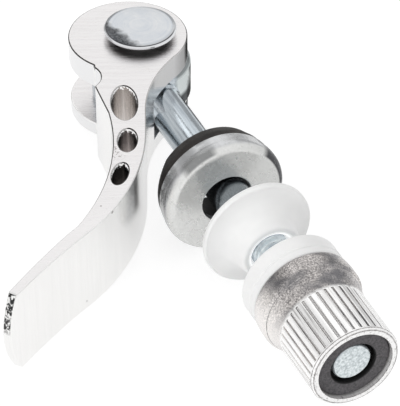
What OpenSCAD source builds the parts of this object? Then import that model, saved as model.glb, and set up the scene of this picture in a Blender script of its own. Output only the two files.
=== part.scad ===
/* Quick-release seatpost clamp, loosely assembled.
   X runs along the bolt towards the nut, Z along the lever's pivot.
   The origin lies on the bolt's axis at the clamping face of the cup. */

/* [Bolt] */
// Diameter of the plain shank
shank_d = 6; // [5.6:0.1:6.4]
// Major diameter of the threaded end
thread_d = 5.9; // [5.5:0.1:5.9]
// Pivot axis to the cut end of the thread
bolt_reach = 73.3; // [70:0.1:74]
// Diameter of the round eye
eye_d = 16; // [15:0.5:17]
// Thickness of the eye along the pivot
eye_w = 6.6; // [6:0.1:6.7]
// Pivot axis to the clamping face of the cup
pivot_to_face = 34.2; // [33:0.1:36]

/* [Lever head] */
// Diameter of the two cam ears
ear_d = 19; // [18:0.5:20]
// Distance of the ears' centre from the pivot
cam_throw = 2; // [1.5:0.1:2.2]
// Direction of that offset in the open lever, in degrees
cam_angle = -114; // [-120:1:-108]
// Top face of the lever above the bolt's axis
lever_top = 7.7; // [7.4:0.1:8]
// Bottom face of the lever below the bolt's axis
lever_drop = 6.2; // [6:0.1:6.5]
// Top of the slot between the ears
slot_top = 3.45; // [3.4:0.05:3.8]
// Bottom of the slot below the bolt's axis
slot_drop = 3.9; // [3.4:0.05:4]
// Radius of the slot's root about the pivot
slot_r = 12.5; // [11.5:0.1:12.8]
// Radius of the relief notch beside the heel
notch_r = 3.5; // [3:0.1:3.8]
// Diameter of the rivet's big head
head_d = 11.6; // [11:0.1:12]
// Height of the rivet's neck, which holds the head clear of the ear
head_gap = 1; // [0.6:0.1:1.2]

/* [Lever neck and blade] */
// Direction of the neck from the pivot, in degrees
neck_angle = -23; // [-24:0.5:-22]
// Radius of the hollow between the ears and the neck
neck_fillet_r = 23; // [20:0.5:24]
// Outer radius where the neck bends into the blade
bend_out_r = 35.4; // [34:0.1:37]
// Inner radius of the same bend
bend_in_r = 39; // [38:0.1:40]
// Thickness of the blade at its tip
tip_t = 1.4; // [1.2:0.1:1.8]
// Radius of the rounded end of the blade
tip_r = 12.7; // [10:0.1:16]

/* [Cup washer and pad] */
// Largest diameter of the cup
cup_d = 19.4; // [19:0.1:20]
// Height of the cup
cup_h = 3.9; // [3.5:0.1:4.3]
// Diameter of the hole in the cup
cup_hole_d = 8; // [7.6:0.1:8.6]
// Wall of the cup
cup_wall = 1.3; // [1:0.1:1.5]
// Height of the pad behind the cup
pad_h = 3.2; // [2.8:0.1:3.6]
// Depth of the seat that the cam ears press into
seat_depth = 1.6; // [1:0.1:2]

/* [Nylon bush and washer] */
// Diameter of the bush's flange
flange_d = 17.3; // [16.5:0.1:18]
// Clamping face of the cup to the bush
grip_gap = 8.3; // [8:0.1:9]
// Length of the bush with its hub
bush_len = 5.8; // [5:0.1:6.2]
// Diameter of the hub's end
hub_d = 9.4; // [8.8:0.1:10]
// Bore of the bush and of the washer
nylon_bore_d = 6.6; // [6.4:0.1:7]
// Diameter of the nut's washer
washer_d = 15.5; // [15:0.1:16]
// Thickness of the nut's washer
washer_t = 4.2; // [3.6:0.1:4.4]

/* [Nut] */
// Clamping face of the cup to the back of the nut
nut_x = 24; // [23.8:0.1:24.4]
// Length of the nut
nut_len = 16.1; // [15.6:0.1:16.4]
// Diameter of the nut's flange
nut_flange_d = 15.8; // [15.4:0.1:16.2]
// Diameter of the knurled barrel at the shoulder
barrel_d = 13.7; // [13.5:0.1:14]
// Diameter of the plain rim at the end
rim_d = 13.5; // [13.2:0.1:13.6]
// Number of ribs round the barrel
ribs = 36; // [28:1:40]
// Depth of the grooves between the ribs
groove_depth = 0.45; // [0.3:0.05:0.6]
// Outer diameter of the lock ring
ring_d = 11.3; // [11:0.1:11.5]

/* [Hidden] */
$fn = 96;
pivot_x = -pivot_to_face;
rivet_d = 6;
eye_bore_d = 6.12;
nut_bore_d = 6;
// the loose cup and its pad hang a little beside the bolt's axis
cup_y = -0.62;
cup_z = -0.3;
lever_h = lever_top + lever_drop;
ear_c = cam_throw * [cos(cam_angle), sin(cam_angle)];
// along the neck, and square to it towards the bolt
along = [cos(neck_angle), sin(neck_angle)];
across = [-sin(neck_angle), cos(neck_angle)];
// the neck's bolt side passes the ears' centre at this distance
neck_side = 2.75;
fillet_run = sqrt(pow(neck_fillet_r + ear_d / 2, 2) - pow(neck_fillet_r + neck_side, 2));
fillet_c = ear_c + fillet_run * along + (neck_fillet_r + neck_side) * across;
bend_start = 25.4;
bend_out_c = ear_c + bend_start * along - (bend_out_r - neck_side) * across;
bend_in_c = [8.64, -50.6];
heel = [9.8, -11.78];
notch_c = [6.4, -13.2];
blade_tip = [48.9, -40.0];
tip_angle = -54;
tip_dir = [cos(tip_angle), sin(tip_angle)];
tip_side = [-sin(tip_angle), cos(tip_angle)];
tip_swell = tip_r - sqrt(tip_r * tip_r - lever_h * lever_h / 4);

// points along an arc, from angle a0 to a1
function arc(c, r, a0, a1, n) = [for (i = [0 : n]) let (a = a0 + (a1 - a0) * i / n)
    c + r * [cos(a), sin(a)]];
// points along a free curve with two handles, its first point left out
function curve(p, n) = [for (i = [1 : n]) let (t = i / n, s = 1 - t)
    s * s * s * p[0] + 3 * s * s * t * p[1] + 3 * s * t * t * p[2] + t * t * t * p[3]];

// turns a profile drawn as [distance along X, radius] about the bolt's axis
module turned() {
    rotate([0, 90, 0]) rotate_extrude() rotate(90) mirror([0, 1]) children();
}

// oval opening right through the lever: centre, half length, half width, direction
module oval_hole(c, a, b, angle) {
    translate([c[0], c[1], -lever_drop - 1]) rotate(angle) linear_extrude(lever_h + 2)
        polygon([for (t = [0 : 9 : 351]) [a * cos(t), b * sin(t)]]);
}

// neck, bend and blade: the bolt side out to the tip, then back along the other side to the heel
module neck_outline() {
    out_end = bend_out_c + bend_out_r * [cos(27), sin(27)];
    in_end = bend_in_c + bend_in_r * [cos(38), sin(38)];
    end = blade_tip + (tip_swell + 0.6) * tip_dir;
    out_tip = end + tip_t / 2 * tip_side;
    in_tip = end - tip_t / 2 * tip_side;
    to_fillet = (fillet_c - ear_c) / norm(fillet_c - ear_c);
    difference() {
        polygon(concat(
            [ear_c, ear_c + (ear_d / 2 - 0.3) * to_fillet, fillet_c - (neck_fillet_r - 0.01) * across],
            arc(bend_out_c, bend_out_r, 90 + neck_angle, 27, 14),
            curve([out_end, out_end + 5 * [cos(-65), sin(-65)], out_tip - 5.5 * tip_dir, out_tip], 8),
            [in_tip],
            curve([in_tip, in_tip - 5.5 * tip_dir, in_end + 4.5 * [cos(-64), sin(-64)], in_end], 8),
            arc(bend_in_c, bend_in_r, 40, 78, 13),
            [heel, [2.5, -9]]));
        translate(fillet_c) circle(r = neck_fillet_r, $fn = 180);
        translate(notch_c) circle(r = notch_r);
    }
}

module lever() {
    color([0.86, 0.86, 0.85]) translate([pivot_x, 0, 0]) difference() {
        union() {
            translate([ear_c[0], ear_c[1], -lever_drop]) cylinder(d = ear_d, h = lever_h, $fn = 128);
            translate([0, 0, -lever_drop]) linear_extrude(lever_h) neck_outline();
        }
        // slot that takes the eye of the bolt
        translate([0, 0, -slot_drop]) cylinder(r = slot_r, h = slot_top + slot_drop, $fn = 128);
        // seat of the pivot rivet through both ears
        translate([0, 0, -lever_drop - 1]) cylinder(d = rivet_d, h = lever_h + 2);
        // three openings that lighten the neck
        oval_hole([15.4, -9.3], 4.35, 2, -20);
        oval_hole([24.1, -12.45], 2.8, 1.45, -25);
        oval_hole([31, -16.55], 2.6, 1.2, -34);
        // rounded end of the blade
        translate([blade_tip[0], blade_tip[1], lever_top - lever_h / 2])
            rotate([0, 0, tip_angle]) rotate([90, 0, 0]) difference() {
                translate([-3, -lever_h, -6]) cube([12, 2 * lever_h, 12]);
                translate([tip_swell - tip_r, 0, -7]) cylinder(r = tip_r, h = 14, $fn = 180);
            }
    }
}

module eye_bolt() {
    color([0.72, 0.76, 0.79]) difference() {
        union() {
            // forged eye with softened edges
            translate([pivot_x, 0, 0]) rotate_extrude() polygon([[0, -eye_w / 2],
                [eye_d / 2 - 0.5, -eye_w / 2], [eye_d / 2, -eye_w / 2 + 0.5], [eye_d / 2, eye_w / 2 - 0.5],
                [eye_d / 2 - 0.5, eye_w / 2], [0, eye_w / 2]]);
            // shank, its root swelling at the eye, and the threaded end
            turned() polygon(concat([[pivot_x + 5, 0], [pivot_x + 5, shank_d / 2 + 0.29]],
                arc([pivot_x + eye_d / 2 + 1, shank_d / 2 + 1], 1, 225, 270, 5),
                [[7, shank_d / 2], [7.3, thread_d / 2],
                [pivot_x + bolt_reach - 0.2, thread_d / 2], [pivot_x + bolt_reach, thread_d / 2 - 0.2],
                [pivot_x + bolt_reach, 0]]));
        }
        translate([pivot_x, 0, -eye_w]) cylinder(d = eye_bore_d, h = 2 * eye_w);
    }
}

module rivet() {
    r = rivet_d / 2;
    color([0.78, 0.8, 0.82]) translate([pivot_x, 0, 0]) rotate_extrude() polygon(concat(
        [[0, -lever_drop - 1], [2.4, -lever_drop - 0.95]],
        arc([3.5, -lever_drop - 0.35], 0.6, -60, 30, 5),
        [[4.02, -lever_drop], [r, -lever_drop], [r, lever_top], [3.9, lever_top],
        [3.9, lever_top + head_gap]],
        arc([head_d / 2 - 0.33, lever_top + head_gap + 0.34], 0.33, -85, 60, 7),
        // low dome of the big head
        arc([0, lever_top + head_gap + 1.1 - 42], 42, 83, 90, 8)));
}

module cup_washer() {
    r = cup_d / 2;
    hole = cup_hole_d / 2;
    color([0.8, 0.8, 0.78]) translate([0, cup_y, cup_z]) turned() polygon(concat(
        [[-cup_h, r - 0.25], [-2.25, r - 0.2], [-2.15, r]],
        arc([-1.35, r - 1.35], 1.35, 90, 0, 12),
        [[0, hole + 0.2], [-0.2, hole], [-cup_wall, hole], [-cup_wall, r - cup_wall - 0.7],
        [-cup_wall - 0.7, r - cup_wall], [-cup_h, r - cup_wall]]));
}

module cam_pad() {
    r = cup_d / 2;
    color([0.12, 0.11, 0.11]) translate([0, cup_y, cup_z]) difference() {
        turned() polygon([[-cup_h - pad_h, 4.3], [-cup_h - pad_h, r - 1.4], [-cup_h - pad_h + 0.25, r - 1.15],
            [-cup_h - 1.1, r - 0.5], [-cup_h - 0.02, r - 0.5], [-cup_h - 0.02, r - cup_wall - 0.05],
            [-cup_wall - 0.8, r - cup_wall - 0.05], [-cup_wall - 0.1, r - cup_wall - 0.8],
            [-cup_wall - 0.1, 4.3]]);
        // cylindrical seat for the cam ears, here turned across the lever's pivot
        translate([-cup_h - pad_h + seat_depth - ear_d / 2 - 0.2, 20, 0]) rotate([90, 0, 0])
            cylinder(r = ear_d / 2 + 0.2, h = 40, $fn = 180);
    }
}

module flanged_bush() {
    r = flange_d / 2;
    bore = nylon_bore_d / 2;
    hub = hub_d / 2;
    color([0.93, 0.93, 0.92]) translate([grip_gap, 0, 0]) turned() polygon(concat(
        [[0, bore + 0.2], [0, r - 0.35]],
        arc([0.35, r - 0.35], 0.35, 180, 90, 4),
        arc([0.75, r - 0.35], 0.35, 90, 10, 4),
        // hollow flare from the flange down to the hub
        arc([1.05 + 3.3, hub + 0.3 + 3.3], 3.3, 180, 265, 14),
        arc([bush_len - 0.5, hub - 0.5], 0.5, 90, 0, 4),
        [[bush_len, bore + 0.2], [bush_len - 0.2, bore], [0.2, bore]]));
}

module nut_washer() {
    r = washer_d / 2;
    bore = nylon_bore_d / 2;
    x = nut_x - 0.05;
    color([0.95, 0.95, 0.94]) turned() polygon(concat(
        [[x - washer_t, bore]],
        arc([x - washer_t + 0.5, r - 0.5], 0.5, 180, 90, 5),
        [[x - 1.55, r - 0.05], [x - 1.45, r - 0.3], [x - 1.3, r - 0.3], [x - 1.2, r - 0.1],
        [x - 0.15, r - 0.1], [x, r - 0.25], [x, bore]]));
}

module nut_body() {
    r = nut_flange_d / 2;
    b = barrel_d / 2;
    e = rim_d / 2;
    color([0.7, 0.68, 0.66]) translate([nut_x, 0, 0]) difference() {
        turned() polygon(concat(
            [[0, nut_bore_d / 2 + 0.5], [0, r - 0.35], [0.3, r - 0.1], [1.6, r]],
            // rounded edge, and a shoulder running down to the barrel
            arc([2.9, r - 0.92], 0.9, 88, 35, 6),
            [[5.0, b + 0.28], [6.3, b], [nut_len - 0.55, e], [nut_len - 0.3, e],
            [nut_len, e - 0.3], [nut_len, ring_d / 2], [nut_len - 3.2, ring_d / 2],
            [nut_len - 3.2, nut_bore_d / 2], [0.5, nut_bore_d / 2]]));
        // straight grooves that leave the ribs standing, shallower with the taper of the barrel
        for (i = [0 : ribs - 1]) rotate([2.6 + i * 360 / ribs, 0, 0]) translate([6.7, 0, b - groove_depth])
            rotate([0, atan((b - e) / (nut_len - 7)), 0]) rotate([90, 0, 90])
            linear_extrude(nut_len - 7.3) polygon([[-0.1, 0], [0.1, 0], [0.34, 1], [-0.34, 1]]);
    }
}

module lock_ring() {
    r = ring_d / 2 - 0.01;
    color([0.22, 0.21, 0.22]) translate([nut_x + nut_len, 0, 0]) turned() polygon([
        [-3.19, nut_bore_d / 2], [-3.19, r], [-0.85, r], [-0.65, r - 0.2], [-0.65, 3.6], [-0.8, 3.45],
        [-1.9, 3.45], [-2.2, nut_bore_d / 2]]);
}

eye_bolt();
lever();
rivet();
cup_washer();
cam_pad();
flanged_bush();
nut_washer();
nut_body();
lock_ring();
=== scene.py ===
import math

import bpy
from mathutils import Matrix, Vector


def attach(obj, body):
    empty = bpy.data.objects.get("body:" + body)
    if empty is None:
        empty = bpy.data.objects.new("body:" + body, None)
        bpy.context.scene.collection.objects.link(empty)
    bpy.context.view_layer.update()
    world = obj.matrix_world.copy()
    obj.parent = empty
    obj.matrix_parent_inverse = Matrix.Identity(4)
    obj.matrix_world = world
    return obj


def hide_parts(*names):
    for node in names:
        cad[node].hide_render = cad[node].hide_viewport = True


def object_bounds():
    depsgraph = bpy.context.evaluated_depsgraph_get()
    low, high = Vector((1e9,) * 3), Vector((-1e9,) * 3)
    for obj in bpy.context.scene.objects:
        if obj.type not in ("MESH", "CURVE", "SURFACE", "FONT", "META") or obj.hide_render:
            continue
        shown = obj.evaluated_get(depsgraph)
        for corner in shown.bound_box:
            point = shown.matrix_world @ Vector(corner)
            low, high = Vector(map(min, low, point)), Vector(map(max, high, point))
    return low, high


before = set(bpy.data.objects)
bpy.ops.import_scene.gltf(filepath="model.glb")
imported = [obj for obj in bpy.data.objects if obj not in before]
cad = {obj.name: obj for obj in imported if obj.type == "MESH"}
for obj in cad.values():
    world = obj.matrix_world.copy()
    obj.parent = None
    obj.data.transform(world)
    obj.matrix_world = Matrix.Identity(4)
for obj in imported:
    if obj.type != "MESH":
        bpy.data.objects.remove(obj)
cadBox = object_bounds()
mm = 0.001
pivotX = -34.2  # lever's pivot on the bolt's axis, in millimetres
xWay, yWay, zWay = (1, 0, 0), (0, 1, 0), (0, 0, 1)
black = (0, 0, 0)

# in millimetres, how near two points count as one and how little an edge may run along the bolt;
# in degrees, how far a flat face may bend and from what angle on an edge is softened
meshing = {"merge": 0.002, "tiny": 0.001, "flat": 0.8, "sharp": 32}


def clearSelection():
    if bpy.context.object and bpy.context.object.mode != "OBJECT":
        bpy.ops.object.mode_set(mode="OBJECT")
    bpy.ops.object.select_all(action="DESELECT")


def pick(piece):
    clearSelection()
    piece.select_set(True)
    bpy.context.view_layer.objects.active = piece


def editAll(piece):
    pick(piece)
    bpy.ops.object.mode_set(mode="EDIT")
    bpy.ops.mesh.select_all(action="SELECT")


def leaveEdit():
    bpy.ops.object.mode_set(mode="OBJECT")


def takeCopy(nodeName, pieceName):
    # the node itself is left alone: its copy is merged into one skin of clean faces
    piece = bpy.data.objects.new(pieceName, cad[nodeName].data.copy())
    bpy.context.scene.collection.objects.link(piece)
    pick(piece)
    bpy.ops.mesh.customdata_custom_splitnormals_clear()
    piece.data.materials.clear()
    editAll(piece)
    bpy.ops.mesh.remove_doubles(threshold=meshing["merge"] * mm)
    bpy.ops.mesh.dissolve_limited(angle_limit=math.radians(meshing["flat"]))
    leaveEdit()
    return piece


def applyModifiers(piece):
    pick(piece)
    for modifier in list(piece.modifiers):
        bpy.ops.object.modifier_apply(modifier=modifier.name)


def softenEdges(piece, width, edgeSlot=-1, clamped=True):
    pick(piece)
    bpy.ops.object.shade_smooth()
    for _ in range(edgeSlot + 1):
        piece.data.materials.append(None)
    bevel = piece.modifiers.new("softEdges", "BEVEL")
    bevel.material = edgeSlot
    bevel.use_clamp_overlap = clamped
    bevel.width = width * mm
    bevel.segments = 2
    bevel.limit_method = "ANGLE"
    bevel.angle_limit = math.radians(meshing["sharp"])
    bevel.miter_outer = "MITER_ARC"
    weigh = piece.modifiers.new("evenShade", "WEIGHTED_NORMAL")
    weigh.mode = "FACE_AREA"
    weigh.weight = 80
    applyModifiers(piece)


def sliceAlongX(piece, cuts):
    # rings of edges across every edge that runs along the bolt
    pick(piece)
    mesh = piece.data
    for part in (mesh.vertices, mesh.edges, mesh.polygons):
        part.foreach_set("select", [False] * len(part))
    for edge in mesh.edges:
        a, b = (mesh.vertices[i].co for i in edge.vertices)
        edge.select = abs(a.x - b.x) > meshing["tiny"] * mm
    bpy.context.tool_settings.mesh_select_mode = (False, True, False)
    bpy.ops.object.mode_set(mode="EDIT")
    bpy.ops.mesh.subdivide(number_cuts=cuts)
    leaveEdit()
    bpy.context.tool_settings.mesh_select_mode = (True, False, False)


def keepBefore(piece, x):
    # flat cut across the bolt's axis, which leaves the side before x
    editAll(piece)
    bpy.ops.mesh.bisect(plane_co=(x * mm, 0, 0), plane_no=xWay, use_fill=True,
                        clear_inner=False, clear_outer=True)
    leaveEdit()


def joinTo(main, other):
    pick(main)
    other.select_set(True)
    bpy.ops.object.join()
    return main


def finishPiece(piece, body, slotName, nodeName, *materials):
    while len(piece.data.materials) < len(materials):
        piece.data.materials.append(None)
    for place, material in enumerate(materials):
        piece.data.materials[place] = material
    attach(piece, body)
    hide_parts(nodeName)


# below, a value is a number, a vector, a colour or another node's output
ownTrees = []


def feed(socket, value):
    if isinstance(value, bpy.types.NodeSocket):
        socket.id_data.links.new(value, socket)
    elif socket.type == "RGBA":
        socket.default_value = (*value, 1)
    else:
        socket.default_value = value


def feedAll(node, inputs):
    for key, value in inputs.items():
        feed(node.inputs[key], value)


def put(tree, kind, inputs=None, **settings):
    made = tree.nodes.new(kind)
    for key, value in settings.items():
        setattr(made, key, value)
    feedAll(made, inputs or {})
    return made


def putAfter(kind, inputs, **settings):
    # in the tree of the outputs that feed it
    tree = next(value.id_data for value in inputs.values() if isinstance(value, bpy.types.NodeSocket))
    return put(tree, kind, inputs, **settings)


def calculate(operation, a, b=0.0):
    return putAfter("ShaderNodeMath", {0: a, 1: b}, operation=operation).outputs[0]


def both(a, b):
    return calculate("MULTIPLY", a, b)


def either(a, b):
    return calculate("MAXIMUM", a, b)


def farFrom(value, middle):
    return calculate("ABSOLUTE", calculate("SUBTRACT", value, middle))


def ramp(value, start, end, low=0.0, high=1.0, kind="LINEAR"):
    # low up to the start, high from the end on
    return putAfter("ShaderNodeMapRange", {"Value": value, "From Min": start, "From Max": end,
                                           "To Min": low, "To Max": high}, interpolation_type=kind).outputs[0]


def between(mask, low, high):
    return ramp(mask, 0, 1, low, high)


def mixValues(factor, a, b):
    return putAfter("ShaderNodeMix", {0: factor, 2: a, 3: b}, data_type="FLOAT").outputs[0]


def blend(factor, a, b):
    return putAfter("ShaderNodeMix", {0: factor, 6: a, 7: b}, data_type="RGBA").outputs["Result"]


def vectorMath(operation, a, b=black):
    return putAfter("ShaderNodeVectorMath", {0: a, 1: b}, operation=operation).outputs


def alongWay(vector, way):
    return vectorMath("DOT_PRODUCT", vector, way)["Value"]


def flatten(vector, kept):
    return vectorMath("MULTIPLY", vector, kept)[0]


def nearPoint(place, centre, full, gone):
    # 1 close to the centre, fading out between two distances
    return ramp(vectorMath("DISTANCE", place, centre)["Value"], full, gone, 1, 0)


def noise(vector, **inputs):
    return putAfter("ShaderNodeTexNoise", {"Vector": vector, **inputs}).outputs["Fac"]


def bumped(height, depth, strength, after=None):
    inputs = {"Height": height, "Distance": depth * mm, "Strength": strength}
    if after is not None:
        inputs["Normal"] = after
    return putAfter("ShaderNodeBump", inputs).outputs["Normal"]


def startGroup(name, inputs, outputs):
    # an input without a number is a vector
    tree = bpy.data.node_groups.new(name, "ShaderNodeTree")
    ownTrees.append(tree)
    for label, value in inputs.items():
        kind = "NodeSocketVector" if value is None else "NodeSocketFloat"
        socket = tree.interface.new_socket(name=label, in_out="INPUT", socket_type=kind)
        if value is not None:
            socket.default_value = value
    for label in outputs:
        tree.interface.new_socket(name=label, in_out="OUTPUT", socket_type="NodeSocketFloat")
    return tree, put(tree, "NodeGroupInput").outputs, put(tree, "NodeGroupOutput")


def makeBrushing():
    # long fine streaks: Long and Fine are the streaks' length and width in millimetres, along the vector's X
    tree, given, result = startGroup("brushing", {"Vector": None, "Long": 6.0, "Fine": 0.25},
                                     ["Mask", "Height"])
    scale = put(tree, "ShaderNodeCombineXYZ", {row: calculate("DIVIDE", 1.0, given[label])
                                               for row, label in enumerate(["Long", "Fine", "Fine"])})
    drawn = vectorMath("MULTIPLY", given["Vector"], scale.outputs[0])[0]
    wide = noise(drawn, Scale=0.45, Detail=2.0, Roughness=0.55)
    fine = noise(drawn, Scale=1.0, Detail=4.0, Roughness=0.65)
    feedAll(result, {"Mask": ramp(mixValues(0.6, wide, fine), 0.36, 0.64), "Height": fine})
    return tree


def makeSpots():
    # scattered small marks: Size in millimetres, Amount from 0 to 1
    tree, given, result = startGroup("spots", {"Vector": None, "Size": 0.6, "Amount": 0.2}, ["Mask"])
    cloud = noise(given["Vector"], Scale=calculate("DIVIDE", 1.0, given["Size"]), Detail=3.0, Roughness=0.6)
    least = between(given["Amount"], 0.82, 0.42)
    feedAll(result, {"Mask": ramp(cloud, least, calculate("ADD", least, 0.08), kind="SMOOTHSTEP")})
    return tree


def makeGrain():
    # cast or moulded skin: Size is that of one grain in millimetres
    tree, given, result = startGroup("castGrain", {"Vector": None, "Size": 0.3}, ["Mask", "Cloud", "Height"])
    scale = calculate("DIVIDE", 1.0, given["Size"])
    fine = noise(given["Vector"], Scale=scale, Detail=3.0, Roughness=0.7)
    cells = put(tree, "ShaderNodeTexVoronoi", {"Vector": given["Vector"], "Scale": scale}, feature="F1")
    cloud = noise(given["Vector"], Scale=calculate("MULTIPLY", scale, 0.12), Detail=2.0, Roughness=0.5)
    feedAll(result, {"Mask": ramp(fine, 0.34, 0.66), "Cloud": ramp(cloud, 0.35, 0.65),
                     "Height": mixValues(0.45, fine, cells.outputs["Distance"])})
    return tree


def makeRings():
    # turning marks round the vector's Z axis: Pitch is their spacing in millimetres
    tree, given, result = startGroup("turningMarks", {"Vector": None, "Pitch": 0.3}, ["Mask", "Radius"])
    radius = vectorMath("LENGTH", flatten(given["Vector"], (1, 1, 0)))["Value"]
    marks = put(tree, "ShaderNodeTexNoise", {"W": calculate("DIVIDE", radius, given["Pitch"]), "Scale": 1.0,
                                             "Detail": 3.0, "Roughness": 0.6}, noise_dimensions="1D")
    feedAll(result, {"Mask": ramp(marks.outputs["Fac"], 0.35, 0.65), "Radius": radius})
    return tree


brushing, spots, castGrain, turningMarks = makeBrushing(), makeSpots(), makeGrain(), makeRings()


def newMaterial(name, fixed=None):
    material = bpy.data.materials.new(name)
    material.use_nodes = True
    tree = material.node_tree
    ownTrees.append(tree)
    shader = tree.nodes["Principled BSDF"]
    feedAll(shader, fixed or {})
    return material, tree, shader


def millimetres(tree, centre=(0, 0, 0), turn=(0, 0, 0)):
    # object coordinates in millimetres, centred and turned for a pattern
    coords = put(tree, "ShaderNodeTexCoord").outputs["Object"]
    place = put(tree, "ShaderNodeMapping", {"Vector": coords, "Location": [-c for c in centre],
                                            "Scale": [1 / mm] * 3}).outputs[0]
    if any(turn):
        turned = {"Vector": place, "Rotation": [math.radians(a) for a in turn]}
        place = put(tree, "ShaderNodeMapping", turned).outputs[0]
    return place


def facing(tree, way):
    # 1 where the surface faces that way, 0 where it lies along it
    return alongWay(put(tree, "ShaderNodeTexCoord").outputs["Normal"], way)


def useGroup(group, vector, **values):
    return putAfter("ShaderNodeGroup", {"Vector": vector, **values}, node_tree=group).outputs


def arrange(tree):
    # every node stands left of all that it feeds
    columns = {node.name: 0 for node in tree.nodes}
    for _ in range(len(columns)):
        for link in tree.links:
            start, end = link.from_node.name, link.to_node.name
            columns[start] = max(columns[start], columns[end] + 1)
    rows = {}
    for node in tree.nodes:
        column = columns[node.name]
        rows[column] = rows.get(column, 0) + 1
        node.location = (-220 * column, -240 * rows[column])


# a pair of numbers in these settings is where something begins and ends, in millimetres;
# a name with Facing has instead how far the surface faces that way, and one with Rough two roughnesses
leverLook = {
    "streakAngle": -66,       # brushing runs across the neck, and fades along the blade
    "calm": (-4.0, 6.0), "calmest": 0.75, "topFacing": (0.6, 0.85),
    "topLight": (0.84, 0.825, 0.825), "topDark": (0.72, 0.705, 0.705),
    # the head's side is painted a little darker than the blade's, with painted shade at its far end
    "headSide": (0.84, 0.84, 0.845), "headFarShade": (0.52, 0.52, 0.525),
    "headEnd": (-26.0, -20.0), "farWay": (0.4145, 0.91, 0), "far": (-8.8, -7.4),
    "sideLight": (0.93, 0.925, 0.915), "sideDark": (0.89, 0.885, 0.875),
    "topRough": (0.24, 0.34), "sideRough": (0.17, 0.24), "metal": (1.0, 0.1),
    "mark": (0.30, 0.28, 0.27), "scuffAt": (-8.2, -15.1, 7.7), "scuff": (0.8, 2.2),
    # single nicks: place and half width
    "nicks": [((7.58, -26.6, -4.78), 0.14), ((4.09, -20.8, 7.4), 0.3), ((2.51, -21.92, 7.7), 0.16)],
    # top face, how far the torn edge hangs into the openings, and the burrs' colour and painted glow
    "top": 7.7, "topSoft": 0.04, "burr": 0.9, "burrLight": (0.95, 0.95, 0.94), "burrPaintedGlow": (0.5, 0.5, 0.5),
    # openings: centre, half length, half width, direction and painted shade of the wall, darker in the
    # smaller openings
    "openings": [((-18.8, -9.3, 0), 4.35, 2.0, -20, (0.98, 0.95, 0.93)),
                 ((-10.1, -12.45, 0), 2.8, 1.45, -25, (0.90, 0.87, 0.86)),
                 ((-3.2, -16.55, 0), 2.6, 1.2, -34, (0.62, 0.60, 0.59))],
    # how far round an opening its wall counts, as a share of its size, and how bright its dark streaks are
    "wall": (1.12, 1.2), "wallDark": 0.75,
    # softened edges get a painted dark line on top, a painted shade that is darkest on the head and on the
    # side away from the bolt
    "edge": 0.16, "edgeDark": (0.006, 0.005, 0.005), "edgeLight": (0.09, 0.085, 0.08),
    "edgeHigh": (7.0, 7.3), "edgeAlong": (-4.0, 4.0), "edgeLeast": 0.15, "edgeHead": (-30.0, -26.0),
    "toBolt": (0.41, 0.91, 0), "boltFacing": (0.0, 0.3), "boltLeast": 0.4, "edgeRough": (0.12, 0.25),
    # where the sawn end of the blade begins, and the part of its height that is dark and rough
    "tipAngle": -54, "tipFacing": (0.35, 0.55), "tip": (40.3, 40.4), "sawn": (1.4, 2.4),
    "sawnDark": (0.008, 0.008, 0.008), "sawnLight": (0.80, 0.80, 0.79), "sawnBits": (0.52, 0.68),
}


def shadeOpenings(look, tree, place, streaks, color):
    # walls of the openings with painted shade, darker as the openings get smaller; also gives the mask of all
    # three
    inside = 0.0
    for centre, long, wide, turn, light in look["openings"]:
        oval = put(tree, "ShaderNodeMapping", {
            "Vector": place, "Location": centre, "Rotation": (0, 0, math.radians(turn)),
            "Scale": (long, wide, 1000)}, vector_type="TEXTURE")
        near = nearPoint(oval.outputs[0], (0, 0, 0), *look["wall"])
        color = blend(near, color, blend(streaks, [look["wallDark"] * c for c in light], light))
        inside = either(near, inside)
    return color, inside


def wearTop(look, across, place, isTop):
    near = nearPoint(place, look["scuffAt"], *look["scuff"])
    scuff = both(useGroup(spots, across, Size=0.45, Amount=0.75)["Mask"], near)
    specks = useGroup(spots, across, Size=0.3, Amount=0.34)["Mask"]
    worn = both(either(scuff, specks), isTop)
    for centre, half in look["nicks"]:
        worn = either(nearPoint(place, centre, 0.4 * half, 1.2 * half), worn)
    return worn


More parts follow.
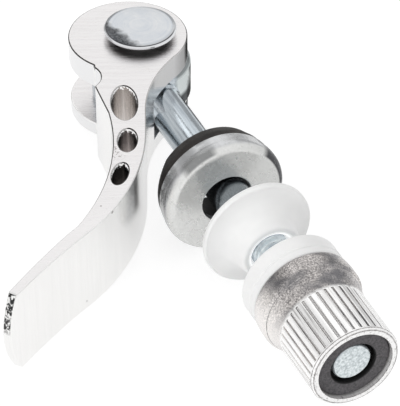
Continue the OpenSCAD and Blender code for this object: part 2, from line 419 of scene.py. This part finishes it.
def leverMaterial(look):
    material, tree, shader = newMaterial("brushedAluminium", {"Emission Strength": 1.0})
    across = millimetres(tree, turn=(0, 0, look["streakAngle"]))
    place = millimetres(tree)
    upright = millimetres(tree, turn=(0, 90, 0))
    top = useGroup(brushing, across, Long=7.0, Fine=0.22)
    side = useGroup(brushing, upright, Long=9.0, Fine=0.3)
    isTop = ramp(calculate("ABSOLUTE", facing(tree, zWay)), *look["topFacing"])
    height, along = alongWay(place, zWay), alongWay(place, xWay)
    calm = ramp(along, *look["calm"], 0, look["calmest"])
    topColor = blend(either(top["Mask"], calm), look["topDark"], look["topLight"])
    brushed = blend(side["Mask"], look["sideDark"], look["sideLight"])
    onHead = ramp(along, *look["headEnd"], 1, 0)
    far = both(onHead, ramp(alongWay(place, look["farWay"]), *look["far"]))
    sided = blend(far, blend(onHead, brushed, look["headSide"]), look["headFarShade"])
    walled, inside = shadeOpenings(look, tree, place, side["Mask"], sided)
    worn = wearTop(look, across, place, isTop)
    scuffed = blend(worn, blend(isTop, walled, topColor), look["mark"])
    # the sawn end of the blade is dark and rough in its upper part
    angle = math.radians(look["tipAngle"])
    tipWay = (math.cos(angle), math.sin(angle), 0)
    tip = both(ramp(facing(tree, tipWay), *look["tipFacing"]), ramp(alongWay(place, tipWay), *look["tip"]))
    sawn = both(tip, ramp(height, *look["sawn"]))
    bits = ramp(useGroup(castGrain, place, Size=0.5)["Mask"], *look["sawnBits"])
    ended = blend(sawn, scuffed, blend(bits, look["sawnDark"], look["sawnLight"]))
    # ragged burrs that the drill and the saw left at the openings' upper edge, lit by a painted glow
    crumbs = useGroup(castGrain, place, Size=0.32)
    reached = calculate("ADD", height, between(crumbs["Mask"], 0.0, look["burr"]))
    torn = ramp(reached, look["top"] - look["topSoft"], look["top"] + look["topSoft"])
    burr = both(torn, calculate("SUBTRACT", inside, isTop))
    sideRough, topRough = between(side["Mask"], *look["sideRough"]), between(top["Mask"], *look["topRough"])
    feedAll(shader, {
        "Base Color": blend(burr, ended, look["burrLight"]),
        "Emission Color": blend(burr, black, look["burrPaintedGlow"]),
        "Roughness": mixValues(isTop, sideRough, topRough),
        "Metallic": between(either(burr, sawn), *look["metal"]),
        "Normal": bumped(both(top["Height"], isTop), depth=0.02, strength=0.5)})
    return material


def edgeMaterial(name, look, plain, darkPart):
    # the thin line along an edge: dark and broken in one part, plain elsewhere
    material, tree, shader = newMaterial(name, {"Metallic": 1.0})
    place = millimetres(tree)
    broken = useGroup(castGrain, place, Size=0.4)
    lined = blend(broken["Mask"], look["edgeDark"], look["edgeLight"])
    feedAll(shader, {"Base Color": blend(darkPart(look, place), plain, lined),
                     "Roughness": between(broken["Cloud"], *look["edgeRough"])})
    return material


def upperEdges(look, place):
    # painted shade: where the line along the top edges is dark
    along = alongWay(place, xWay)
    away = ramp(facing(place.id_data, look["toBolt"]), *look["boltFacing"], 1, look["boltLeast"])
    darkest = either(away, ramp(along, *look["edgeHead"], 1, 0))
    part = both(ramp(along, *look["edgeAlong"], 1, look["edgeLeast"]), darkest)
    return both(ramp(alongWay(place, zWay), *look["edgeHigh"]), part)


def makeLever():
    lever = takeCopy("lever", "leverBrushed")
    softenEdges(lever, leverLook["edge"], edgeSlot=1, clamped=False)
    # the edges' material carries a painted dark line
    finishPiece(lever, "lever", "lever_alloy", "lever", leverMaterial(leverLook),
                edgeMaterial("leverEdgeShade", leverLook, leverLook["sideLight"], upperEdges))
    print("lever:", len(lever.data.polygons), "faces")


makeLever()


rivetLook = {
    "light": (0.66, 0.67, 0.68), "dark": (0.55, 0.58, 0.62), "ringPitch": 0.35,
    "rough": (0.09, 0.17),
    # painted shade on the underside, down to the neck's top; its pale edge is a painted highlight with a
    # painted glow, standing for light from the lever's polished face
    "underShade": (0.16, 0.16, 0.16), "underRim": (0.85, 0.85, 0.85), "underGlow": (0.36, 0.35, 0.35),
    "neckTop": (8.70, 8.75), "nearRim": (5.0, 5.6),
    # painted dark reflection on one side of the head, and a painted dark line at this radius, where the dome
    # meets the bright rim
    "stainAndDarkReflection": (0.018, 0.02, 0.024), "reflectionWay": (0.215, -0.976, 0),
    "toned": (3.6, 4.8), "flecks": (0.72, 1.0),
    "line": (0.05, 0.05, 0.055), "lineAt": 5.5, "lineHalf": (0.05, 0.13),
    "lineWay": (0.91, -0.41, 0), "lineAlong": (0.0, 2.5), "rim": (0.80, 0.81, 0.83), "rimSoft": 0.15,
}


def makeRivet(look):
    material, tree, shader = newMaterial("turnedZinc", {"Metallic": 1.0, "Emission Strength": 1.0})
    place = millimetres(tree, centre=(pivotX, 0, 0))
    rings = useGroup(turningMarks, place, Pitch=look["ringPitch"])
    grain = useGroup(castGrain, place, Size=0.25)
    ringed = calculate("MULTIPLY", calculate("ADD", rings["Mask"], grain["Cloud"]), 0.5)
    plain = blend(ringed, look["dark"], look["light"])
    # the painted dark reflection on one side is broken up by the grain
    wavy = calculate("ADD", alongWay(place, look["reflectionWay"]), grain["Cloud"])
    darkReflection = both(ramp(wavy, *look["toned"]), between(grain["Mask"], *look["flecks"]))
    onRim = ramp(rings["Radius"], look["lineAt"], look["lineAt"] + look["rimSoft"])
    rimmed = blend(onRim, blend(darkReflection, plain, look["stainAndDarkReflection"]), look["rim"])
    # a painted dark line, on one side only, where the dome meets the rim
    onLine = ramp(farFrom(rings["Radius"], look["lineAt"]), *look["lineHalf"], 1, 0)
    drawn = both(onLine, ramp(alongWay(place, look["lineWay"]), *look["lineAlong"]))
    # painted shade under the head, and a painted glow at its edge
    underShade = ramp(alongWay(place, zWay), *look["neckTop"], 1, 0)
    nearRim = ramp(rings["Radius"], *look["nearRim"])
    below = blend(nearRim, look["underShade"], look["underRim"])
    turned = bumped(rings["Mask"], depth=0.010, strength=0.5)
    feedAll(shader, {
        "Base Color": blend(underShade, blend(drawn, rimmed, look["line"]), below),
        "Emission Color": blend(both(underShade, nearRim), black, look["underGlow"]),
        "Roughness": between(rings["Mask"], *look["rough"]),
        "Normal": bumped(grain["Mask"], depth=0.004, strength=0.4, after=turned)})
    cad["rivet"].material_slots[0].material = material
    print("rivet finished")


makeRivet(rivetLook)


boltLook = {
    "light": (0.66, 0.72, 0.76), "dark": (0.36, 0.40, 0.44), "mark": (0.12, 0.14, 0.15),
    "rough": (0.12, 0.24), "metal": (1.0, 0.6), "dull": (12.0, 13.5),
    "threadLight": (0.90, 0.97, 0.98), "clear": (13.2, 15.0), "clearest": 0.8,
    # the eye's far side gets a pale painted highlight, with painted shade below and at its upper edge
    "eyeLight": (0.93, 1.0, 1.0), "eyeDark": (0.08, 0.09, 0.095),
    "eyeEnd": (-26.8, -26.2), "eyeSide": (2.6, 3.4), "shadeBelow": (-1.1, -0.3),
    "shadeAbove": (2.6, 3.0), "shadeAboveLeast": 0.8,
    # painted shade on the shank inside the cup and the bush, between these two
    "shadedInside": (0.30, 0.33, 0.35), "shadeFrom": (-4.0, -1.0), "shadeTo": (11.0, 13.0),
    # sheared, speckled face at the end of the thread
    "endDark": (0.42, 0.47, 0.49), "endLight": (0.90, 0.96, 0.97), "endFace": (0.06, 0.03),
    "threadFrom": 7.0, "threadTo": 39.1, "plainEnd": 38.3, "runOut": 0.4, "chamfer": 0.2,
    "pitch": 1.0, "crest": 2.93, "root": 2.38,
    "crestHalf": 0.06, "flank": 0.34,   # shares of the pitch
    "around": 40, "cuts": (19, 17), "overlap": 0.1, "edge": 0.06,
}


def threadRadius(x, angle, look):
    # crests climb along the bolt as they turn to the left about it, which is a right-hand thread
    turn = (x / look["pitch"] - angle / (2 * math.pi)) % 1.0
    drop = min(max((abs(turn - 0.5) - look["crestHalf"]) / look["flank"], 0.0), 1.0)
    radius = look["root"] + (look["crest"] - look["root"]) * (1.0 - drop)
    fade = min(max((x - look["plainEnd"]) / look["runOut"], 0.0), 1.0)
    chamfer = max(x - (look["threadTo"] - look["chamfer"]), 0.0)
    return radius + (look["crest"] - radius) * fade - chamfer


def makeThread(look):
    start, end = look["threadFrom"] - look["overlap"], look["threadTo"]
    clearSelection()
    bpy.ops.mesh.primitive_cylinder_add(vertices=look["around"], radius=look["crest"] * mm,
                                        depth=(end - start) * mm, location=((start + end) / 2 * mm, 0, 0),
                                        rotation=(0, math.pi / 2, 0))
    thread = bpy.context.object
    thread.name = "boltThread"
    bpy.ops.object.transform_apply(location=True, rotation=True, scale=True)
    for cuts in look["cuts"]:
        sliceAlongX(thread, cuts)
    for point in thread.data.vertices:
        angle = math.atan2(point.co.z, point.co.y)
        radius = threadRadius(point.co.x / mm, angle, look) * mm
        point.co.y, point.co.z = radius * math.cos(angle), radius * math.sin(angle)
    return thread


def boltMaterial(look):
    material, tree, shader = newMaterial("blueZinc")
    place = millimetres(tree)
    along, height = alongWay(place, xWay), alongWay(place, zWay)
    drawn = useGroup(brushing, place, Long=9.0, Fine=0.5)
    grain = useGroup(castGrain, place, Size=0.3)
    marks = useGroup(spots, place, Size=0.5, Amount=0.42)
    plain = blend(drawn["Mask"], look["dark"], look["light"])
    clear = blend(ramp(along, *look["clear"], 0, look["clearest"]), plain, look["threadLight"])
    toned = blend(marks["Mask"], blend(grain["Cloud"], clear, plain), look["mark"])
    # painted shade inside the cup and the bush
    shadedInside = both(ramp(along, *look["shadeFrom"]), ramp(along, *look["shadeTo"], 1, 0))
    shaded = blend(shadedInside, toned, look["shadedInside"])
    # painted highlight and painted shade on the eye's far side
    eyeSide = both(ramp(along, *look["eyeEnd"], 1, 0), ramp(alongWay(place, yWay), *look["eyeSide"]))
    eyeShade = either(ramp(height, *look["shadeBelow"], 1, 0), ramp(height, *look["shadeAbove"], 0, look["shadeAboveLeast"]))
    eyed = blend(eyeSide, shaded, blend(eyeShade, look["eyeLight"], look["eyeDark"]))
    speckled = blend(useGroup(castGrain, place, Size=0.4)["Mask"], look["endDark"], look["endLight"])
    atEnd = ramp(along, *(look["threadTo"] - depth for depth in look["endFace"]))
    streaked = bumped(drawn["Height"], depth=0.02, strength=0.4)
    feedAll(shader, {
        "Base Color": blend(atEnd, eyed, speckled),
        "Roughness": between(grain["Mask"], *look["rough"]),
        "Metallic": ramp(along, *look["dull"], *look["metal"]),
        "Normal": bumped(grain["Height"], depth=0.015, strength=0.5, after=streaked)})
    return material


def makeBolt(look):
    shank = takeCopy("eye_bolt", "boltShank")
    keepBefore(shank, look["threadFrom"])
    thread = makeThread(look)
    softenEdges(shank, look["edge"])
    pick(thread)
    bpy.ops.object.shade_smooth_by_angle(angle=math.radians(meshing["sharp"]))
    bolt = joinTo(shank, thread)
    bolt.name = "boltZinc"
    finishPiece(bolt, "bolt", "bolt_zinc", "eye_bolt", boltMaterial(look))
    print("bolt:", len(bolt.data.polygons), "faces")


makeBolt(boltLook)


cupLook = {
    "edge": 0.1, "centre": (0, -0.62, -0.3),   # the loose cup hangs a little off the bolt's axis
    "light": (0.86, 0.86, 0.845), "dark": (0.70, 0.705, 0.695), "mark": (0.36, 0.36, 0.35),
    "skirtLight": (0.66, 0.67, 0.68), "skirtDark": (0.50, 0.505, 0.515),   # the drawn wall behind the rim
    # the face's dull colour is a painted shade, spreading towards +Y up to its largest share
    "wallFacing": (0.15, 0.5), "dull": (0.60, 0.605, 0.595), "shadeSpan": (1.5, 6.0), "shadeMost": 0.6,
    "rough": (0.20, 0.30),
    # painted dark reflections as arcs on the rim: middle, inner radius, and cosines of the angles where they
    # begin and are full
    "rimReflection": (0.27, 0.275, 0.275), "reflectionArc": ((0, -0.469, 0.883), 9.0, (0.94, 0.975)),
    "reflectionFront": (-2.6, -1.2), "reflectionLeast": 0.25, "arcSoft": 0.25,
    "line": (0.06, 0.06, 0.065), "lineArc": ((0, 0.927, 0.375), 8.6, (0.89, 0.94)),
}


def rimArc(own, radius, soft, way, inner, cosines):
    cosine = calculate("DIVIDE", alongWay(own, way), radius)
    return both(ramp(cosine, *cosines), ramp(radius, inner, inner + soft))


def cupMaterial(look):
    material, tree, shader = newMaterial("satinSteel", {"Metallic": 0.7})
    place = millimetres(tree, centre=look["centre"], turn=(0, 90, 0))
    own = millimetres(tree, centre=look["centre"])
    rings = useGroup(turningMarks, place, Pitch=0.5)
    grain = useGroup(castGrain, place, Size=0.22)
    marks = useGroup(spots, place, Size=0.3, Amount=0.5)
    drawn = useGroup(brushing, own, Long=6.0, Fine=1.2)
    plain = blend(grain["Mask"], look["dark"], look["light"])
    # painted shade on the face, darker towards +Y
    faced = blend(ramp(alongWay(own, yWay), *look["shadeSpan"], 0, look["shadeMost"]), plain, look["dull"])
    onWall = ramp(facing(tree, xWay), *look["wallFacing"], 1, 0)
    walled = blend(onWall, faced, blend(drawn["Mask"], look["skirtDark"], look["skirtLight"]))
    front = ramp(alongWay(own, xWay), *look["reflectionFront"], look["reflectionLeast"], 1)
    # painted dark reflections on the rim
    rimReflection = both(front, rimArc(own, rings["Radius"], look["arcSoft"], *look["reflectionArc"]))
    streaked = blend(rimReflection, walled, look["rimReflection"])
    line = rimArc(own, rings["Radius"], look["arcSoft"], *look["lineArc"])
    turned = bumped(rings["Mask"], depth=0.008, strength=0.35)
    feedAll(shader, {
        "Base Color": blend(marks["Mask"], blend(line, streaked, look["line"]), look["mark"]),
        "Roughness": between(grain["Cloud"], *look["rough"]),
        "Normal": bumped(grain["Height"], depth=0.008, strength=0.4, after=turned)})
    return material


def makeCup(look):
    cup = takeCopy("cup_washer", "cupSteel")
    softenEdges(cup, look["edge"])
    finishPiece(cup, "cup", "cup_steel", "cup_washer", cupMaterial(look))


padLook = {"edge": 0.12, "dark": (0.014, 0.012, 0.011), "light": (0.030, 0.026, 0.024), "rough": (0.45, 0.62)}


def makePad(look):
    pad = takeCopy("cam_pad", "padBlack")
    softenEdges(pad, look["edge"])
    material, tree, shader = newMaterial("blackPlastic", {"Specular IOR Level": 0.25})
    place = millimetres(tree)
    grain = useGroup(castGrain, place, Size=0.25)
    feedAll(shader, {
        "Base Color": blend(grain["Cloud"], look["dark"], look["light"]),
        "Roughness": between(grain["Mask"], *look["rough"]),
        "Normal": bumped(grain["Height"], depth=0.03, strength=0.4)})
    finishPiece(pad, "cup", "pad_black", "cam_pad", material)


makeCup(cupLook)
makePad(padLook)
print("cup and pad finished")


nylonLook = {
    "light": (0.90, 0.90, 0.895), "dark": (0.86, 0.86, 0.858), "rough": (0.34, 0.48),
    "through": 0.55, "bore": (3.5, 3.9),   # light comes through to the wall of the bore
    "depth": 1.5, "refraction": 1.5,
    "bushEdge": 0.08, "bushScatter": 0.35, "washerEdge": 0.05, "washerScatter": 0.3,
}


def nylonMaterial(name, scatter, look):
    material, tree, shader = newMaterial(name, {
        "Subsurface Weight": scatter, "Subsurface Radius": (1.0, 1.0, 1.0),
        "Subsurface Scale": look["depth"] * mm, "IOR": look["refraction"], "Emission Strength": 1.0})
    place = millimetres(tree, turn=(0, 90, 0))
    grain = useGroup(castGrain, place, Size=0.5)
    rings = useGroup(turningMarks, place, Pitch=0.45)
    bore = ramp(rings["Radius"], *look["bore"], look["through"], 0)
    turned = bumped(rings["Mask"], depth=0.006, strength=0.3)
    feedAll(shader, {
        "Base Color": blend(grain["Cloud"], look["dark"], look["light"]),
        "Emission Color": blend(bore, black, look["light"]),
        "Roughness": between(grain["Mask"], *look["rough"]),
        "Normal": bumped(grain["Height"], depth=0.02, strength=0.3, after=turned)})
    return material


def makeNylon(look):
    bush = takeCopy("flanged_bush", "bushNylon")
    softenEdges(bush, look["bushEdge"])
    bushMaterial = nylonMaterial("nylonBush", look["bushScatter"], look)
    finishPiece(bush, "bush", "bush_nylon", "flanged_bush", bushMaterial)
    washer = takeCopy("nut_washer", "washerNylon")
    softenEdges(washer, look["washerEdge"])
    washerMaterial = nylonMaterial("nylonWasher", look["washerScatter"], look)
    finishPiece(washer, "washer", "washer_nylon", "nut_washer", washerMaterial)
    print("nylon parts finished")


makeNylon(nylonLook)


nutLook = {
    "castLight": (0.99, 0.94, 0.91), "castDark": (0.15, 0.14, 0.14), "stainAndDarkReflection": (0.13, 0.132, 0.15),
    # patches are drawn out round the axis; how cloudy they begin and end, and how much of the cast then shows
    "drawnOut": (1.1, 0.7, 0.7), "cloudy": (0.15, 0.75), "castShown": (0.2, 1.0),
    # the side that catches the light from the table, and the shaded upper side
    "pale": (0.97, 0.94, 0.92), "paleWay": (0, -0.9, -0.43), "paleAlong": (2.5, 7.0), "palest": 0.8,
    "shade": (0.16, 0.155, 0.155), "shadeWay": (0, -0.2, 0.98), "shadeAlong": (2.5, 7.5), "darkest": 0.3,
    "rub": (0.98, 0.975, 0.97), "line": (0.40, 0.39, 0.38), "lineEnds": (0.0, 0.4),
    "rough": (0.27, 0.20), "metal": (0.9, 0.5), "relief": (1.0, 0.25),   # first the cast, then the barrel
    "grooveDark": (0.22, 0.21, 0.21), "grooveLight": (0.95, 0.93, 0.92),
    "edge": 0.07, "edgeDark": (0.14, 0.13, 0.13), "edgeLight": (0.62, 0.60, 0.59), "edgeRough": (0.12, 0.25),
    "rimLine": 6.36, "rimHalf": (0.03, 0.09), "rimDark": (0.06, 0.055, 0.055),
    # ribbed part along the bolt and radius of its crests at both ends, where it and the rim set in,
    # and how deep below the crests the rubbed tops end and the grooves begin
    "ribs": (30.3, 39.6), "crests": (6.85, 6.75), "barrel": (30.2, 30.8), "rim": (39.45, 39.6),
    "crest": (0.04, 0.22), "groove": (0.28, 0.48), "pastRibs": (0.05, 0.15),
}


def nutMaterial(look):
    material, tree, shader = newMaterial("castAluminium")
    place = millimetres(tree)
    pulled = put(tree, "ShaderNodeMapping", {"Vector": place, "Scale": look["drawnOut"]}).outputs[0]
    grain = useGroup(castGrain, place, Size=0.26)
    patches = useGroup(castGrain, pulled, Size=0.4)
    drawn = useGroup(brushing, place, Long=9.0, Fine=0.2)
    cast = blend(grain["Mask"], look["castDark"], look["castLight"])
    patchy = blend(ramp(patches["Cloud"], *look["cloudy"], *look["castShown"]), look["stainAndDarkReflection"], cast)
    pale = ramp(alongWay(place, look["paleWay"]), *look["paleAlong"], 0, look["palest"])
    shade = ramp(alongWay(place, look["shadeWay"]), *look["shadeAlong"], 0, look["darkest"])
    toned = blend(pale, blend(shade, patchy, look["shade"]), look["pale"])
    # depth below the crests, whose radius runs down to the rim
    along = alongWay(place, xWay)
    radius = vectorMath("LENGTH", flatten(place, (0, 1, 1)))["Value"]
    below = calculate("SUBTRACT", ramp(along, *look["ribs"], *look["crests"]), radius)
    onBarrel, onRim = ramp(along, *look["barrel"]), ramp(along, *look["rim"])
    shining = either(both(ramp(below, *look["crest"], 1, 0), onBarrel), onRim)
    bare = blend(ramp(drawn["Mask"], *look["lineEnds"]), look["line"], look["rub"])
    shiny = blend(shining, toned, bare)
    sunk = calculate("SUBTRACT", both(ramp(below, *look["groove"]), onBarrel), onRim)
    clouded = blend(patches["Cloud"], look["grooveLight"], look["grooveDark"])
    grooved = blend(either(sunk, 0), shiny, blend(pale, clouded, look["pale"]))
    # thin broken line round the rim
    thin = ramp(farFrom(radius, look["rimLine"]), *look["rimHalf"], 1, 0)
    onLine = both(both(thin, patches["Mask"]), onRim)
    height = both(grain["Height"], between(onBarrel, *look["relief"]))
    feedAll(shader, {
        "Base Color": blend(onLine, grooved, look["rimDark"]),
        "Roughness": between(shining, *look["rough"]),
        "Metallic": between(onBarrel, *look["metal"]),
        "Normal": bumped(height, depth=0.035, strength=0.8)})
    return material


def edgesOffRibs(look, place):
    # edges of the ribs are rubbed bright, the others aren't
    start, end = look["ribs"]
    half = (end - start) / 2
    return ramp(farFrom(alongWay(place, xWay), start + half), *(half + past for past in look["pastRibs"]))


def makeNut(look):
    nut = takeCopy("nut_body", "nutCast")
    softenEdges(nut, look["edge"], edgeSlot=1, clamped=False)
    finishPiece(nut, "nut", "nut_alloy", "nut_body", nutMaterial(look),
                edgeMaterial("castEdge", look, look["rub"], edgesOffRibs))
    print("nut:", len(nut.data.polygons), "faces")


ringLook = {
    "edge": 0.05, "dark": (0.045, 0.042, 0.045), "light": (0.13, 0.124, 0.13), "rough": (0.5, 0.7),
    # painted shade in the gap round the bolt's end, on the ring's mouth
    "mouth": (3.5, 3.62), "mouthShade": (0.004, 0.004, 0.004),   # gap round the bolt's end
}


def makeLockRing(look):
    ring = takeCopy("lock_ring", "ringNylon")
    softenEdges(ring, look["edge"])
    material, tree, shader = newMaterial("greyNylon", {"Specular IOR Level": 0.3})
    place = millimetres(tree)
    grain = useGroup(castGrain, place, Size=0.3)
    plain = blend(grain["Mask"], look["dark"], look["light"])
    # painted shade at the mouth
    mouth = nearPoint(flatten(place, (0, 1, 1)), (0, 0, 0), *look["mouth"])
    feedAll(shader, {
        "Base Color": blend(mouth, plain, look["mouthShade"]),
        "Roughness": between(grain["Mask"], *look["rough"]),
        "Normal": bumped(grain["Height"], depth=0.05, strength=0.5)})
    finishPiece(ring, "nut", "ring_nylon", "lock_ring", material)


makeNut(nutLook)
makeLockRing(ringLook)
print("nut and lock ring finished")


studio = {
    "skyLight": 0.72,         # plain light of the room on matt surfaces
    "white": 1.0, "glossSky": 0.92,
    # what gloss sees in the room: azimuth, elevation, half width and soft edge in degrees, brightness
    "places": [(134, 2, 18, 8, 0.5), (190, 2, 22, 8, 0.4), (226, 12, 18, 8, 0.6),
               (214, 30, 9, 4, 0.45), (160, 38, 13, 8, 1.12), (178, 46, 3.5, 2, 0.1),
               (191, 43, 8, 2, 1.45), (205, 38, 2.5, 1.5, 0.03)],
    # lamps: power in watts, size and place in metres
    "keyLamp": (0.92, 0.35, (0.24, -0.46, 0.20)), "topLamp": (0.5, 0.6, (-0.05, 0.05, 0.6)),
    # shares of the floor that take light and shadow, for the camera and for gloss
    "floorShow": 0.34, "glossShow": 0.5, "floorGlow": 1.2,
    "floorSize": 6.0, "floorGap": 0.02, "floorWhite": (0.93, 0.93, 0.93), "floorRough": 0.9,
    # painted shade on the table, which only gloss sees as dark reflections: centre, full and faded reach in
    # millimetres, strength
    "glossShade": [((-55, 20, 0), 13, 21, 1.0), ((-28, 25, 0), 7, 20, 0.36), ((-36.5, 14, 0), 4, 6.5, 0.85)],
    # the camera stands where the photo's was: its place in metres, and its three directions
    "lens": 189, "sensor": 36, "clip": (0.01, 20), "eye": (0.2190, -0.1050, 0.2010),
    "right": (0.4145, 0.9101, 0.0005), "up": (-0.5825, 0.2649, 0.7685), "back": (0.6992, -0.3188, 0.6399),
}


def makeWorld():
    world = bpy.data.worlds.new("room")
    bpy.context.scene.world = world
    world.use_nodes = True
    tree = world.node_tree
    ownTrees.append(tree)
    tree.nodes.clear()
    coords = put(tree, "ShaderNodeTexCoord").outputs
    path = put(tree, "ShaderNodeLightPath").outputs
    seen = studio["glossSky"]
    for azimuth, elevation, half, soft, bright in studio["places"]:
        a, e = math.radians(azimuth), math.radians(elevation)
        way = (math.cos(a) * math.cos(e), math.sin(a) * math.cos(e), math.sin(e))
        faint, full = math.cos(math.radians(half + soft)), math.cos(math.radians(half))
        near = ramp(alongWay(coords["Generated"], way), faint, full, kind="SMOOTHSTEP")
        seen = mixValues(near, seen, bright)
    gloss = mixValues(path["Is Glossy Ray"], studio["skyLight"], seen)
    clear = either(path["Is Camera Ray"], path["Is Transmission Ray"])
    strength = mixValues(clear, gloss, studio["white"])
    back = put(tree, "ShaderNodeBackground", {"Color": (1, 1, 1), "Strength": strength})
    put(tree, "ShaderNodeOutputWorld", {"Surface": back.outputs[0]})


def makeFloor():
    clearSelection()
    lowest = cadBox[0][2] - studio["floorGap"] * mm
    bpy.ops.mesh.primitive_plane_add(size=studio["floorSize"], location=(0, 0, lowest))
    floor = bpy.context.object
    floor.name = "floor"
    bpy.ops.object.transform_apply(location=True, rotation=True, scale=True)
    material, tree, shader = newMaterial("whiteTable", {
        "Base Color": studio["floorWhite"], "Roughness": studio["floorRough"], "Specular IOR Level": 0.0})
    path = put(tree, "ShaderNodeLightPath").outputs
    seen = calculate("MULTIPLY", path["Is Camera Ray"], 1 - studio["floorShow"])
    shine = either(path["Is Glossy Ray"], path["Is Transmission Ray"])
    share = either(seen, calculate("MULTIPLY", shine, 1 - studio["glossShow"]))
    glow = put(tree, "ShaderNodeEmission", {"Color": (1, 1, 1), "Strength": studio["floorGlow"]})
    table = put(tree, "ShaderNodeMixShader", {0: share, 1: shader.outputs[0], 2: glow.outputs[0]})
    flat = flatten(millimetres(tree), (1, 1, 0))
    # painted shade on the table, seen only in reflections
    glossShade = 0.0
    for centre, full, gone, strength in studio["glossShade"]:
        glossShade = either(calculate("MULTIPLY", nearPoint(flat, centre, full, gone), strength), glossShade)
    glossShadeEmission = put(tree, "ShaderNodeEmission", {"Color": black, "Strength": 0.0})
    shown = both(glossShade, path["Is Glossy Ray"])
    glossShaded = put(tree, "ShaderNodeMixShader", {0: shown, 1: table.outputs[0], 2: glossShadeEmission.outputs[0]})
    feedAll(tree.nodes["Material Output"], {"Surface": glossShaded.outputs[0]})
    floor.data.materials.append(material)


def makeLamp(name, power, size, place):
    # a square lamp that shines at the origin, and that gloss doesn't see
    light = bpy.data.lights.new(name, "AREA")
    light.shape = "SQUARE"
    light.size = size
    light.energy = power
    lamp = bpy.data.objects.new(name, light)
    bpy.context.scene.collection.objects.link(lamp)
    turn = (-Vector(place)).normalized().to_track_quat("-Z", "Y").to_matrix().to_4x4()
    lamp.matrix_world = Matrix.Translation(place) @ turn
    lamp.visible_glossy = False


def makeCamera():
    data = bpy.data.cameras.new("camera")
    data.sensor_fit = "HORIZONTAL"
    data.sensor_width = studio["sensor"]
    data.lens = studio["lens"]
    data.clip_start, data.clip_end = studio["clip"]
    camera = bpy.data.objects.new("camera", data)
    bpy.context.scene.collection.objects.link(camera)
    turn = Matrix((studio["right"], studio["up"], studio["back"])).transposed().to_4x4()
    camera.matrix_world = Matrix.Translation(studio["eye"]) @ turn
    bpy.context.scene.camera = camera


makeWorld()
makeFloor()
for lampName in ("keyLamp", "topLamp"):
    makeLamp(lampName, *studio[lampName])
makeCamera()
bpy.context.scene.view_settings.view_transform = "Standard"
for ownTree in ownTrees:
    arrange(ownTree)
print("studio finished")
